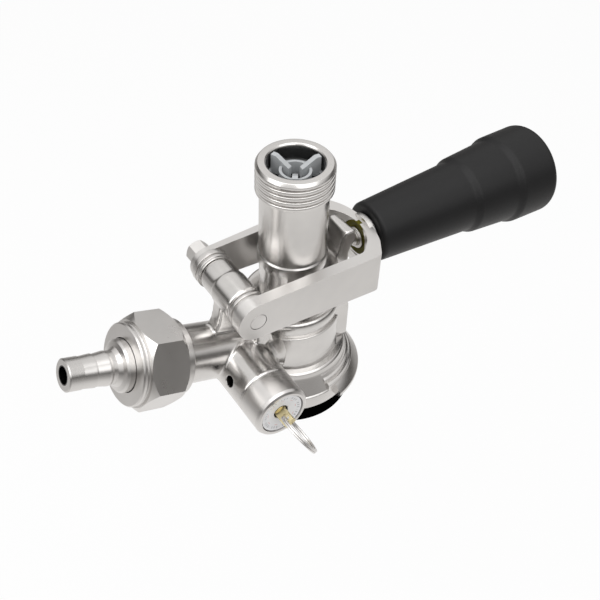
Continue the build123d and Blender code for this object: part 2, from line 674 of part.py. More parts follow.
def latch_plunger():
    tip = BOW_IN_X - PLUNGER_REACH
    collar = CORE_X + 1.0 + FREE
    collar_r = CORE_R - CORE_WALL - FREE
    end = SCREW_SEAT_X - SCREW_LEN
    return grip_axis * turned([
        (0, tip), (PLUNGER_R - 0.7, tip), (PLUNGER_R, tip + 0.7), (PLUNGER_R, collar),
        (collar_r, collar), (collar_r, collar + COLLAR_T), (PLUNGER_R, collar + COLLAR_T),
        (PLUNGER_R, end), (0, end)])


def latch_spring():
    low = CORE_X + 1.0 + FREE + COLLAR_T + 0.1
    high = CORE_END_X - CORE_END_T - 0.1
    return grip_axis * Pos(0, 0, low) * spring(LATCH_COIL_R, LATCH_WIRE_R, high - low, LATCH_COILS)


def grip():
    """Handle with two flared steps, hollow over the core."""
    waist = GRIP_X + 34.8
    ring = waist + 16.6
    end = GRIP_END_X
    step = 3.2
    bore = CORE_R + FREE
    seat = CORE_END_X + LATCH_SEAT
    outline = (
        Polyline([(GRIP_X, GRIP_NECK_R - 1.4), (GRIP_X, bore), (seat, bore), (seat, PLUNGER_R),
                  (SCREW_SEAT_X, PLUNGER_R), (SCREW_SEAT_X, POCKET_R), (end, POCKET_R)])
        + Line((end, POCKET_R), (end, GRIP_END_R - 2.6))
        + CenterArc((end - 2.6, GRIP_END_R - 2.6), 2.6, 0, 90)
        + Line((end - 2.6, GRIP_END_R), (ring + step, GRIP_END_R - 0.2))
        + Spline([(ring + step, GRIP_END_R - 0.2), (ring, GRIP_RING_R)], tangents=[(-1, 0), (-1, 0)])
        + Line((ring, GRIP_RING_R), (waist + step, GRIP_RING_R - 1.0))
        + Spline([(waist + step, GRIP_RING_R - 1.0), (waist, GRIP_WAIST_R)], tangents=[(-1, 0), (-1, 0)])
        + Line((waist, GRIP_WAIST_R), (GRIP_X + 1.4, GRIP_NECK_R))
        + ThreePointArc((GRIP_X + 1.4, GRIP_NECK_R), (GRIP_X + 0.42, GRIP_NECK_R - 0.42),
                        (GRIP_X, GRIP_NECK_R - 1.4)))
    return Pos(0, 0, PIVOT_Z) * revolve(make_face(outline), Axis.X)


def grip_screw():
    start = SCREW_SEAT_X - SCREW_LEN
    head = SCREW_SEAT_X + WASHER_DISC_T
    top = head + SCREW_HEAD_T
    shank_r = PLUNGER_R - 0.02
    screw = turned([
        (0, start), (shank_r, start), (shank_r, head), (SCREW_HEAD_R - 0.3, head),
        (SCREW_HEAD_R, head + 0.3), (SCREW_HEAD_R, top - 0.5), (SCREW_HEAD_R - 0.5, top), (0, top)])
    socket = Pos(0, 0, top - 1.8) * extrude(RegularPolygon(SCREW_KEY_R, 6), 3.0)
    return grip_axis * (screw - socket)


def grip_washer():
    return grip_axis * tube(
        POCKET_R - 0.2, PLUNGER_R + RUN, SCREW_SEAT_X, SCREW_SEAT_X + WASHER_DISC_T)


def grip_plug():
    """Snap-in cap over the screw, in the end of the grip."""
    outside, rim = GRIP_END_X - 0.1, POCKET_R - 0.02
    return grip_axis * turned([
        (0, outside - PLUG_T), (rim, outside - PLUG_T), (rim, outside - 0.4),
        (rim - 0.5, outside), (0, outside)])


NODES = {
    "body_casting": body_casting,
    "keg_seal": keg_seal,
    "neck_seals": neck_seals,
    "hinge_spacers": hinge_spacers,
    "gas_check_valve": gas_check_valve,
    "tail_washer": tail_washer,
    "tail_piece": tail_piece,
    "gas_nut": gas_nut,
    "prv_cap": prv_cap,
    "prv_dial": prv_dial,
    "prv_stem": prv_stem,
    "prv_poppet": prv_poppet,
    "prv_spring": prv_spring,
    "pull_ring": pull_ring,
    "probe_tube": probe_tube,
    "probe_tip_seal": probe_tip_seal,
    "valve_cage": valve_cage,
    "check_ball": check_ball,
    "lever_yoke": lever_yoke,
    "hinge_bolt": hinge_bolt,
    "drive_pins": drive_pins,
    "drive_rollers": drive_rollers,
    "latch_bush": latch_bush,
    "grip_core": grip_core,
    "latch_plunger": latch_plunger,
    "latch_spring": latch_spring,
    "grip": grip,
    "grip_screw": grip_screw,
    "grip_washer": grip_washer,
    "grip_plug": grip_plug,
}

os.makedirs("parts", exist_ok=True)
for name, make in NODES.items():
    export_step(make(), os.path.join("parts", name + ".step"))
    print(name)
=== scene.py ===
import bmesh
import bpy
from math import atan2, cos, pi, radians, sin, sqrt, tau
from mathutils import Matrix, Vector


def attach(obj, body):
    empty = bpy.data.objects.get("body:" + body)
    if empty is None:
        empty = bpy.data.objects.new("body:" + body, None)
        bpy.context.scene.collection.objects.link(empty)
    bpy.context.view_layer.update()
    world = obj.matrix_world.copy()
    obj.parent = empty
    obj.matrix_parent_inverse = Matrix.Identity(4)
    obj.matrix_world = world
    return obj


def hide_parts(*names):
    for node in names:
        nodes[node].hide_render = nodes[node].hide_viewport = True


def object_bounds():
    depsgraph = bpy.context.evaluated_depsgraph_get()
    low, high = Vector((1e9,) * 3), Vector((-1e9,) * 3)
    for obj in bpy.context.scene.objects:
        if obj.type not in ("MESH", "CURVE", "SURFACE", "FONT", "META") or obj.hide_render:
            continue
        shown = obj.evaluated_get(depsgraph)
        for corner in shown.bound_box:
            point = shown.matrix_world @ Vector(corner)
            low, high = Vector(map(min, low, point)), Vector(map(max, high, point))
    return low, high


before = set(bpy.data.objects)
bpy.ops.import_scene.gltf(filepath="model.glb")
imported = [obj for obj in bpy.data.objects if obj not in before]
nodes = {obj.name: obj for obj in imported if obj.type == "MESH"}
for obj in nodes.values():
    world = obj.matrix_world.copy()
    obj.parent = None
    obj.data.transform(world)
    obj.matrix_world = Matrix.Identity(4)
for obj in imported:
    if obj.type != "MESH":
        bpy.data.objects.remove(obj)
cadBox = [list(corner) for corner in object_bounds()]
mm = 0.001
print("frame loaded")

# the hinge, inlet and relief valve axes, in millimetres
lay = {"pivotX": -21.7, "pivotZ": 51.0, "inletZ": 19.1, "inletRise": radians(18.4), "valveZ": 24.4}


# ---- shader maths: a wrapped socket that works with + - * / and numbers

class Signal:
    def __init__(self, tree, socket):
        self.tree = tree
        self.socket = socket

    def maths(self, operation, first, second):
        node = self.tree.nodes.new("ShaderNodeMath")
        node.operation = operation
        for slot, value in zip(node.inputs, (first, second)):
            if isinstance(value, Signal):
                self.tree.links.new(value.socket, slot)
            else:
                slot.default_value = value
        return Signal(self.tree, node.outputs[0])

    def __add__(self, other):
        return self.maths("ADD", self, other)

    def __radd__(self, other):
        return self.maths("ADD", other, self)

    def __sub__(self, other):
        return self.maths("SUBTRACT", self, other)

    def __rsub__(self, other):
        return self.maths("SUBTRACT", other, self)

    def __mul__(self, other):
        return self.maths("MULTIPLY", self, other)

    def __rmul__(self, other):
        return self.maths("MULTIPLY", other, self)

    def __truediv__(self, other):
        return self.maths("DIVIDE", self, other)

    def __gt__(self, other):
        return self.maths("GREATER_THAN", self, other)

    def __lt__(self, other):
        return self.maths("LESS_THAN", self, other)


class Shader:
    def __init__(self, tree):
        self.tree = tree
        self.tree.nodes.clear()

    # one way to add any node: settings first, then sockets
    def node(self, kind, settings=None, sockets=None, out=0):
        node = self.tree.nodes.new(kind)
        for key, value in (settings or {}).items():
            if key == "stops":
                ramp = node.color_ramp
                while len(ramp.elements) < len(value):
                    ramp.elements.new(0.5)
                for element, (at, colour) in zip(ramp.elements, value):
                    element.position = at
                    element.color = colour
            else:
                setattr(node, key, value)
        for key, value in (sockets or {}).items():
            if isinstance(value, Signal):
                self.tree.links.new(value.socket, node.inputs[key])
            else:
                node.inputs[key].default_value = value
        return Signal(self.tree, node.outputs[out])

    def objectPlace(self):
        return self.node("ShaderNodeTexCoord", out="Object")

    def axes(self, vector):
        node = self.tree.nodes.new("ShaderNodeSeparateXYZ")
        self.tree.links.new(vector.socket, node.inputs[0])
        return [Signal(self.tree, socket) for socket in node.outputs]

    def noise(self, vector, scale, detail=2.0, rough=0.5):
        return self.node("ShaderNodeTexNoise", None,
                         {"Vector": vector, "Scale": scale, "Detail": detail, "Roughness": rough}, "Fac")

    def stretched(self, vector, scale, turn=(0, 0, 0)):
        return self.node("ShaderNodeMapping", None,
                         {"Vector": vector, "Scale": scale, "Rotation": turn}, "Vector")

    def blend(self, mask, first, second):
        node = self.tree.nodes.new("ShaderNodeMix")
        node.data_type = "RGBA"
        for slot, value in ((node.inputs[0], mask), (node.inputs[6], first), (node.inputs[7], second)):
            if isinstance(value, Signal):
                self.tree.links.new(value.socket, slot)
            else:
                slot.default_value = value
        return Signal(self.tree, node.outputs[2])

    def clamped(self, value):
        node = self.tree.nodes.new("ShaderNodeClamp")
        self.tree.links.new(value.socket, node.inputs[0])
        return Signal(self.tree, node.outputs[0])

    def bump(self, height, distance, strength=1.0):
        return self.node("ShaderNodeBump", None,
                         {"Height": height, "Distance": distance, "Strength": strength}, "Normal")

    def surface(self, sockets):
        self.output(self.node("ShaderNodeBsdfPrincipled", None, sockets, "BSDF"))

    def output(self, skin):
        node = self.tree.nodes.new("ShaderNodeOutputMaterial")
        self.tree.links.new(skin.socket, node.inputs["Surface"])


def newFinish(name):
    material = bpy.data.materials.new(name)
    material.use_nodes = True
    return material, Shader(material.node_tree)


def rgba(colour, lift=1.0):
    return tuple(min(1.0, part * lift) for part in colour) + (1.0,)


def metal(name, look):
    material, shader = newFinish(name)
    place = shader.objectPlace()
    cloud = shader.noise(place, look["cloudScale"], 3.0, 0.6)
    grain = shader.noise(shader.stretched(place, look["grainStretch"], look.get("grainTurn", (0, 0, 0))),
                         look["grainScale"], 2.0, 0.5)
    speck = shader.noise(place, look["grainScale"] * 2.3, 1.0, 0.5)
    patches = shader.clamped((cloud - 0.35) * 2.5)
    colour = shader.blend(patches, rgba(look["tint"], 0.93), rgba(look["tint"], 1.05))
    # painted shade: a darker bore, in the upright tube or along the inlet
    if "bore" in look:
        x, y, z = shader.axes(place)
        shadedBore = (x * x + y * y < look["bore"] ** 2) * (z > look["boreShadeFrom"])
        colour = shader.blend(shadedBore, colour, rgba(look["tint"], 0.22))
    # painted shade along the slanted inlet bore
    if "slantBoreShade" in look:
        x, y, z = shader.axes(place)
        height = z - lay["inletZ"] * mm
        along = height * sin(lay["inletRise"]) - x * cos(lay["inletRise"])
        away = x * x + y * y + height * height - along * along
        colour = shader.blend(away < look["slantBoreShade"] ** 2, colour, rgba(look["tint"], 0.12))
    rough = (cloud - 0.5) * look["roughSwing"] + (grain - 0.5) * look["roughGrain"] + look["rough"]
    relief = grain * 0.7 + speck * 0.3
    shader.surface({
        "Base Color": colour, "Metallic": 1.0, "Roughness": rough,
        "Normal": shader.bump(relief, look["grainHeight"], look["grainStrength"])})
    return material


def plastic(name, look):
    material, shader = newFinish(name)
    place = shader.objectPlace()
    cloud = shader.noise(place, look["cloudScale"], 3.0, 0.6)
    grain = shader.noise(place, look["grainScale"], 3.0, 0.55)
    colour = shader.blend(shader.clamped((cloud - 0.3) * 2.2), rgba(look["tint"], 1 - look["swing"]),
                          rgba(look["tint"], 1 + look["swing"]))
    rough = look["rough"] + (grain - 0.5) * look["roughSwing"] + (cloud - 0.5) * 0.06
    sockets = {"Base Color": colour, "Roughness": rough,
               "Normal": shader.bump(grain, look["grainHeight"], look.get("grainStrength", 0.6))}
    sockets.update(look.get("extra", {}))
    shader.surface(sockets)
    return material


steelTint = (0.69, 0.675, 0.66)
inletSteel = {
    "tint": steelTint, "rough": 0.28, "roughSwing": 0.05, "roughGrain": 0.015, "cloudScale": 60,
    "grainScale": 60, "grainStretch": (8, 1, 1), "grainTurn": (0, lay["inletRise"], 0),
    "grainHeight": 0.00002, "grainStrength": 0.04}
finishes = {
    "castSteel": metal("castSteel", {
        "tint": steelTint, "rough": 0.225, "roughSwing": 0.05, "roughGrain": 0.04, "cloudScale": 70,
        "grainScale": 900, "grainStretch": (1, 1, 1), "grainHeight": 0.00003, "grainStrength": 0.25}),
    "skirtSteel": metal("skirtSteel", {
        "tint": steelTint, "rough": 0.23, "roughSwing": 0.05, "roughGrain": 0.04, "cloudScale": 70,
        "grainScale": 60, "grainStretch": (1, 1, 40), "grainHeight": 0.00002, "grainStrength": 0.2}),
    "turnedSteelZ": metal("turnedSteelZ", {
        # where painted shade darkens the inside of the tube's bore
        "bore": 0.0084, "boreShadeFrom": 0.0725,
        "tint": (0.71, 0.695, 0.68), "rough": 0.24, "roughSwing": 0.05, "roughGrain": 0.03, "cloudScale": 60,
        "grainScale": 60, "grainStretch": (1, 1, 60), "grainHeight": 0.00002, "grainStrength": 0.08}),
    "turnedSteelX": metal("turnedSteelX", inletSteel),
    # the tail piece gets painted shade along its inlet bore
    "tailSteel": metal("tailSteel", dict(inletSteel, slantBoreShade=0.0029)),
    "turnedSteelY": metal("turnedSteelY", {
        "tint": steelTint, "rough": 0.28, "roughSwing": 0.05, "roughGrain": 0.03, "cloudScale": 60,
        "grainScale": 60, "grainStretch": (1, 60, 1), "grainHeight": 0.00002, "grainStrength": 0.08}),
    "leverSteel": metal("leverSteel", {
        "tint": (0.73, 0.715, 0.70), "rough": 0.34, "roughSwing": 0.06, "roughGrain": 0.08, "cloudScale": 45,
        "grainScale": 1500, "grainStretch": (1, 1, 1), "grainHeight": 0.00003, "grainStrength": 0.35}),
    "boltSteel": metal("boltSteel", {
        "tint": (0.80, 0.785, 0.77), "rough": 0.36, "roughSwing": 0.06, "roughGrain": 0.06, "cloudScale": 90,
        "grainScale": 700, "grainStretch": (1, 1, 1), "grainHeight": 0.00002, "grainStrength": 0.3}),
    "springSteel": metal("springSteel", {
        "tint": (0.66, 0.65, 0.64), "rough": 0.26, "roughSwing": 0.08, "roughGrain": 0.10, "cloudScale": 200,
        "grainScale": 300, "grainStretch": (1, 6, 1), "grainHeight": 0.00002, "grainStrength": 0.3}),
    "brass": metal("brass", {
        "tint": (0.80, 0.70, 0.42), "rough": 0.34, "roughSwing": 0.08, "roughGrain": 0.08, "cloudScale": 160,
        "grainScale": 400, "grainStretch": (1, 8, 1), "grainHeight": 0.00002, "grainStrength": 0.3}),
    "gripBlack": plastic("gripBlack", {
        "tint": (0.0095, 0.0095, 0.0100), "swing": 0.12, "rough": 0.46, "roughSwing": 0.14, "cloudScale": 40,
        "grainScale": 2200, "grainHeight": 0.00004, "grainStrength": 0.35,
        "extra": {"Specular IOR Level": 0.30}}),
    "sealBlack": plastic("sealBlack", {
        "tint": (0.0008, 0.0008, 0.0008), "swing": 0.15, "rough": 0.75, "roughSwing": 0.15, "cloudScale": 60,
        "grainScale": 1600, "grainHeight": 0.00005, "grainStrength": 0.4,
        "extra": {"Specular IOR Level": 0.0}}),
    "siliconeClear": plastic("siliconeClear", {
        "tint": (0.70, 0.70, 0.66), "swing": 0.04, "rough": 0.35, "roughSwing": 0.10, "cloudScale": 80,
        "grainScale": 900, "grainHeight": 0.00003,
        "extra": {"Subsurface Weight": 0.3, "Subsurface Scale": 0.002}}),
    "cagePlastic": plastic("cagePlastic", {
        "tint": (0.47, 0.485, 0.495), "swing": 0.04, "rough": 0.38, "roughSwing": 0.10, "cloudScale": 120,
        "grainScale": 1400, "grainHeight": 0.00003}),
    "ballPlastic": plastic("ballPlastic", {
        "tint": (0.22, 0.23, 0.24), "swing": 0.05, "rough": 0.30, "roughSwing": 0.06, "cloudScale": 90,
        "grainScale": 1200, "grainHeight": 0.00002}),
    "dialWhite": plastic("dialWhite", {
        "tint": (0.78, 0.78, 0.79), "swing": 0.02, "rough": 0.30, "roughSwing": 0.06, "cloudScale": 150,
        "grainScale": 1500, "grainHeight": 0.00002}),
    "washerWhite": plastic("washerWhite", {
        "tint": (0.74, 0.74, 0.71), "swing": 0.03, "rough": 0.42, "roughSwing": 0.08, "cloudScale": 120,
        "grainScale": 1200, "grainHeight": 0.00003}),
    "bushOlive": plastic("bushOlive", {
        "tint": (0.105, 0.092, 0.0015), "swing": 0.08, "rough": 0.5, "roughSwing": 0.10, "cloudScale": 120,
        "grainScale": 1500, "grainHeight": 0.00003, "extra": {"Specular IOR Level": 0.15}}),
}
# a white dish with a ring of black ticks and a ring of red marks round the stem
dialMarks = {"tickCount": 36.0, "groupCount": 9.0, "groupShift": 0.6,
             "ticks": (5.35, 6.15), "marks": (4.75, 4.95)}


def dialFinish():
    material, shader = newFinish("dialPrint")
    place = shader.objectPlace()
    x, y, z = shader.axes(place)
    across, up = (x - lay["pivotX"] * mm) / mm, (z - lay["valveZ"] * mm) / mm
    radius = shader.node("ShaderNodeMath", {"operation": "SQRT"}, {0: across * across + up * up})
    angle = shader.node("ShaderNodeMath", {"operation": "ARCTAN2"}, {0: up, 1: across})
    wave = shader.node("ShaderNodeMath", {"operation": "SINE"}, {0: angle * dialMarks["tickCount"]})
    coarse = shader.node("ShaderNodeMath", {"operation": "SINE"},
                         {0: angle * dialMarks["groupCount"] + dialMarks["groupShift"]})
    tickIn, tickOut = dialMarks["ticks"]
    markIn, markOut = dialMarks["marks"]
    outer = (radius > tickIn) * (radius < tickOut) * (wave > 0.25) * (coarse > -0.72)
    red = (radius > markIn) * (radius < markOut) * (coarse > 0.55)
    cloud = shader.noise(place, 300, 2.0, 0.5)
    white = shader.blend(cloud, (0.74, 0.74, 0.75, 1), (0.80, 0.80, 0.81, 1))
    printed = shader.blend(outer * (0.35 + cloud * 0.3), white, (0.10, 0.10, 0.11, 1))
    colour = shader.blend(red * 0.5, printed, (0.55, 0.08, 0.06, 1))
    shader.surface({"Base Color": colour, "Roughness": 0.30 + cloud * 0.08,
                    "Normal": shader.bump(cloud, 0.00001, 0.3)})
    return material


finishes["dialPrint"] = dialFinish()
print("finishes made")

finishOfNode = {
    "body_casting": "castSteel", "keg_seal": "sealBlack", "neck_seals": "sealBlack",
    "hinge_spacers": "turnedSteelY", "gas_check_valve": "siliconeClear", "tail_washer": "washerWhite",
    "tail_piece": "tailSteel", "gas_nut": "turnedSteelX", "prv_cap": "turnedSteelY",
    "prv_dial": "dialWhite", "prv_stem": "brass", "prv_poppet": "sealBlack", "prv_spring": "springSteel",
    "pull_ring": "springSteel", "probe_tube": "turnedSteelZ", "probe_tip_seal": "sealBlack",
    "valve_cage": "cagePlastic", "check_ball": "ballPlastic", "lever_yoke": "leverSteel",
    "hinge_bolt": "leverSteel", "drive_pins": "turnedSteelY", "drive_rollers": "turnedSteelY",
    "latch_bush": "bushOlive", "grip_core": "turnedSteelX", "latch_plunger": "turnedSteelX",
    "latch_spring": "springSteel", "grip": "gripBlack", "grip_screw": "turnedSteelX",
    "grip_washer": "turnedSteelX", "grip_plug": "gripBlack",
}
for nodeName, finishName in finishOfNode.items():
    slots = nodes[nodeName].data.materials
    slots.clear()
    slots.append(finishes[finishName])
print("finishes on the solids")


# ---- modelling; lengths are millimetres until a piece is finished

def lathe(profile, start=0.0, sweep=360.0, steps=128):
    shape = bmesh.new()
    ring = [shape.verts.new((point[0], 0, point[1])) for point in profile]
    whole = sweep > 359.9
    if whole:
        geom = ring + [shape.edges.new(pair) for pair in zip(ring, ring[1:] + ring[:1])
                       if pair[0].co.x > 0 or pair[1].co.x > 0]
    else:
        face = shape.faces.new(ring)
        geom = ring + face.edges[:] + [face]
    bmesh.ops.rotate(shape, verts=ring, cent=(0, 0, 0), matrix=Matrix.Rotation(radians(start), 3, "Z"))
    bmesh.ops.spin(shape, geom=geom, axis=(0, 0, 1), cent=(0, 0, 0), dvec=(0, 0, 0),
                   angle=radians(sweep), steps=steps, use_merge=whole)
    bmesh.ops.remove_doubles(shape, verts=shape.verts, dist=0.0001)
    bmesh.ops.recalc_face_normals(shape, faces=shape.faces)
    return shape


# round the corners of a closed profile; a third number in a point is its own radius
def rounded(profile, radius, steps=4):
    places = [Vector(point[:2]) for point in profile]
    smooth = []
    for index, corner in enumerate(places):
        before = places[index - 1] - corner
        after = places[(index + 1) % len(places)] - corner
        own = profile[index][2] if len(profile[index]) > 2 else radius
        if own <= 0 or corner.x <= 0:
            smooth.append(corner)
            continue
        half = before.angle(after) / 2
        slope = abs(sin(half) / max(0.001, cos(half)))
        reach = min(own / max(0.05, slope), before.length * 0.45, after.length * 0.45)
        first, last = corner + before.normalized() * reach, corner + after.normalized() * reach
        for step in range(steps + 1):
            part = step / steps
            smooth.append(first * (1 - part) ** 2 + corner * 2 * part * (1 - part) + last * part ** 2)
    return [tuple(point) for point in smooth]


def prism(outline, low, high):
    shape = bmesh.new()
    face = shape.faces.new([shape.verts.new((point[0], point[1], low)) for point in outline])
    grown = bmesh.ops.extrude_face_region(shape, geom=[face])
    top = [item for item in grown["geom"] if isinstance(item, bmesh.types.BMVert)]
    bmesh.ops.translate(shape, verts=top, vec=(0, 0, high - low))
    bmesh.ops.recalc_face_normals(shape, faces=shape.faces)
    return shape


# a closed section in r and z, wound round z with a rise at each step
def coiled(section, rise, turns, steps):
    shape = bmesh.new()
    face = shape.faces.new([shape.verts.new((r, 0, z)) for r, z in section])
    bmesh.ops.spin(shape, geom=face.verts[:] + face.edges[:] + [face], axis=(0, 0, 1), cent=(0, 0, 0),
                   dvec=(0, 0, rise), angle=tau * turns, steps=steps, use_merge=False)
    bmesh.ops.recalc_face_normals(shape, faces=shape.faces)
    return shape


# an outline in x and z, made solid from one y to another
def upright(outline, low, high):
    return moved(prism(outline, -high, -low), Matrix.Rotation(radians(90), 4, "X"))


def moved(shape, matrix):
    bmesh.ops.transform(shape, matrix=matrix, verts=shape.verts)
    return shape


def joined(*shapes):
    whole = bmesh.new()
    for shape in shapes:
        mesh = bpy.data.meshes.new("part")
        shape.to_mesh(mesh)
        shape.free()
        whole.from_mesh(mesh)
        bpy.data.meshes.remove(mesh)
    return whole


def solidOf(name, shape):
    mesh = bpy.data.meshes.new(name)
    shape.to_mesh(mesh)
    shape.free()
    thing = bpy.data.objects.new(name, mesh)
    bpy.context.scene.collection.objects.link(thing)
    return thing


def baked(thing):
    graph = bpy.context.evaluated_depsgraph_get()
    mesh = bpy.data.meshes.new_from_object(thing.evaluated_get(graph))
    old = thing.data
    thing.modifiers.clear()
    thing.data = mesh
    bpy.data.meshes.remove(old)
    return thing


def modified(thing, kind, settings):
    change = thing.modifiers.new(kind, kind)
    for key, value in settings.items():
        setattr(change, key, value)
    return baked(thing)


def combined(thing, shape, operation="DIFFERENCE"):
    tool = solidOf("tool", shape)
    modified(thing, "BOOLEAN", {"operation": operation, "object": tool, "solver": "EXACT"})
    bpy.data.objects.remove(tool)
    return thing


def turnedOff(thing, profile, matrix, steps=64):
    return combined(thing, moved(lathe(profile, steps=steps), matrix))


def softened(thing, width, segments, angle=40):
    return modified(thing, "BEVEL", {"width": width, "segments": segments, "limit_method": "ANGLE",
                                     "angle_limit": radians(angle)})


def dressed(thing, look):
    mesh = thing.data
    mesh.transform(Matrix.Scale(mm, 4))
    mesh.materials.clear()
    mesh.materials.append(finishes[look["finish"]])
    mesh.polygons.foreach_set("material_index", [0] * len(mesh.polygons))
    mesh.polygons.foreach_set("use_smooth", [True] * len(mesh.polygons))
    mesh.set_sharp_from_angle(angle=radians(look["sharp"]))
    mesh.update()
    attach(thing, look["body"])
    for name in look["replaces"]:
        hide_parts(name)
    return thing


# flat faces stay flat up to their rounded edges
def flattened(thing):
    return modified(thing, "WEIGHTED_NORMAL", {"keep_sharp": True, "weight": 60})


def axisMatrix(origin, along, up):
    z = Vector(along).normalized()
    x = Vector(up).normalized()
    turn = Matrix((x, z.cross(x), z)).transposed().to_4x4()
    return Matrix.Translation(origin) @ turn


# an axis that points to -x and rises by an angle
def risingAxis(origin, rise):
    return axisMatrix(origin, (-cos(rise), 0, sin(rise)), (sin(rise), 0, cos(rise)))


inletAxis = risingAxis((0, 0, lay["inletZ"]), lay["inletRise"])
valveAxis = axisMatrix((lay["pivotX"], 0, lay["valveZ"]), (0, -1, 0), (1, 0, 0))
hingeAxis = axisMatrix((lay["pivotX"], 0, lay["pivotZ"]), (0, -1, 0), (1, 0, 0))
gripAxis = axisMatrix((0, 0, lay["pivotZ"]), (1, 0, 0), (0, 1, 0))
ringTurn = Matrix.Rotation(radians(30.6), 4, "Z")


castLook = {"finish": "castSteel", "sharp": 180, "body": "body",
            "replaces": ["body_casting"], "slot": "cast_steel",
            "voxel": 0.42, "smoothing": 7, "ventAt": -13.2, "ventRise": radians(20), "webHalf": 2.5,
            "postHalf": 5.0, "noseFrom": 53, "noseMiddle": 17.5, "noseTaper": 0.6, "shoulderHalf": 9.2}


def makeCasting():
    x, z = lay["pivotX"], lay["pivotZ"]
    neck = lathe(rounded([
        (0, 10), (13.6, 10), (14.6, 19.5), (14.25, 22), (14.3, 31.5), (15.3, 36.8, 2.5), (15.35, 38.2, 1.2),
        (14.4, 39.4, 1.0), (0, 39.4)], 0.8))
    stub = moved(lathe([(0, 0), (10.2, 0), (9.9, 18), (9.1, 24), (9, 30), (9, 54), (0, 54)]), inletAxis)
    branch = moved(lathe([(0, -1), (8.85, -1), (8.85, 20.35), (8.5, 20.6), (0, 20.6)]), valveAxis)
    barrel = moved(lathe([
        (0, -8), (5.3, -8), (5.6, -7.7), (5.6, -1.2), (5.95, -0.8), (5.95, 8.2), (5.5, 8.8),
        (0, 8.8)]), hingeAxis)
    web = upright([
        (x - 4.4, z - 1.5), (x + 4.4, z - 1.5), (x + 4.9, z - 6.5), (-13, 37), (-11, 24.4), (x - 8.5, 28),
        (x - 8, 36), (x - 5.6, 40.5), (x - 4.8, 44)], -castLook["webHalf"], castLook["webHalf"])
    cheek = [(x + 0.6, z - 2), (x + 3.6, z - 1), (x + 8.2, z - 11.5), (x + 9.5, 31), (x + 4.2, 29),
             (x + 3.6, 40)]
    cheeks = joined(upright(cheek, -8.3, -6.1), upright(cheek, 5.2, 7.4))
    post = upright(rounded([
        (12.3, 17.5), (17.2, 17.5), (17.2, 33.4), (17.9, 37), (17.9, 51.2), (18.6, 53.2), (20.2, 55.2),
        (20.5, 56.2), (19.4, 59.5), (16.0, 59.5), (15, 56), (13.6, 50.5), (13.6, 38), (12.3, 35)], 0.6),
        -castLook["postHalf"], castLook["postHalf"])
    # the catch nose narrows towards the far side
    for vertex in post.verts:
        if vertex.co.y > 0 and vertex.co.z > castLook["noseFrom"]:
            middle = castLook["noseMiddle"]
            vertex.co.x = middle + (vertex.co.x - middle) * castLook["noseTaper"]
    shoulders = upright([(8, 20), (16.6, 20), (16.6, 32), (15.9, 36.5), (8, 36.5)],
                        -castLook["shoulderHalf"], castLook["shoulderHalf"])
    casting = solidOf("casting", joined(neck, stub, branch, barrel, web, cheeks, post, shoulders))
    modified(casting, "REMESH", {"mode": "VOXEL", "voxel_size": castLook["voxel"]})
    modified(casting, "SMOOTH", {"factor": 0.5, "iterations": castLook["smoothing"]})
    turnedOff(casting, [
        (0, 5), (12.4, 5), (12.4, 30), (10.1, 31.5), (10.1, 38.4), (10.9, 39.4), (10.9, 70), (0, 70)],
        Matrix(), 128)
    turnedOff(casting, [(0, 9), (6.4, 9), (6.4, 30), (0, 30)], valveAxis, 48)
    turnedOff(casting, [(0, 8), (4.5, 8), (4.5, 43), (6.6, 43), (6.6, 60), (0, 60)], inletAxis, 48)
    vent = risingAxis((x, castLook["ventAt"], lay["valveZ"]), castLook["ventRise"])
    turnedOff(casting, [(0, 4), (1.85, 4), (1.85, 8.6), (2.2, 9.4), (2.2, 12), (0, 12)], vent, 40)
    turnedOff(casting, [(0, -20), (2.65, -20), (2.65, 20), (0, 20)], hingeAxis, 40)
    return dressed(casting, castLook)


makeCasting()


skirtLook = {"finish": "skirtSteel", "sharp": 32, "body": "body",
             "replaces": ["body_casting"], "slot": "cast_steel",
             "lugEnd": 10, "terraces": [
                 (-76.6, [(13, 7.7), (22.9, 7.7, 0.5), (23.4, 8.4, 0.5), (23.4, 9.6, 0.5), (20.7, 12.6),
                          (13, 12.6)]),
                 (-84.5, [(13, 11), (20.95, 11), (20.95, 13.3), (20.2, 13.9), (13, 13.9)]),
                 (-87.0, [(13, 13), (19.6, 13), (19.6, 15.2), (18.9, 15.7), (13, 15.7)]),
                 (-89.0, [(13, 15), (18.45, 15), (18.45, 17.1), (17.8, 17.6), (13, 17.6)]),
                 (-90.5, [(13, 17), (17.45, 17), (17.45, 18.6), (16.7, 19.1), (13, 19.1)])]}


def makeSkirt():
    skirt = lathe(rounded([
        (14.05, 6.3), (20.6, 6.3), (21, 6.75), (20.85, 11.0), (20.35, 11.5), (18.25, 17.4), (18.1, 17.9),
        (17.95, 19.4), (17.4, 20.0), (15.4, 20.3), (14.4, 21.6), (12.6, 21.6), (12.6, 9.3), (14.05, 9.3)],
        0.35, 3), steps=160)
    pieces = [skirt]
    for begin, profile in skirtLook["terraces"]:
        for turn in (0, 180):
            pieces.append(lathe(rounded(profile, 0.25, 3), begin + turn, skirtLook["lugEnd"] - begin, 72))
    return dressed(solidOf("skirt", joined(*pieces)), skirtLook)


makeSkirt()


labelLook = {"finish": "castSteel", "sharp": 40, "body": "body",
             "replaces": ["body_casting"], "slot": "cast_steel",
             "start": -131, "sweep": 83, "notch": 17, "notchDepth": 1.1, "notchAt": (15, 27), "edge": 0.22}


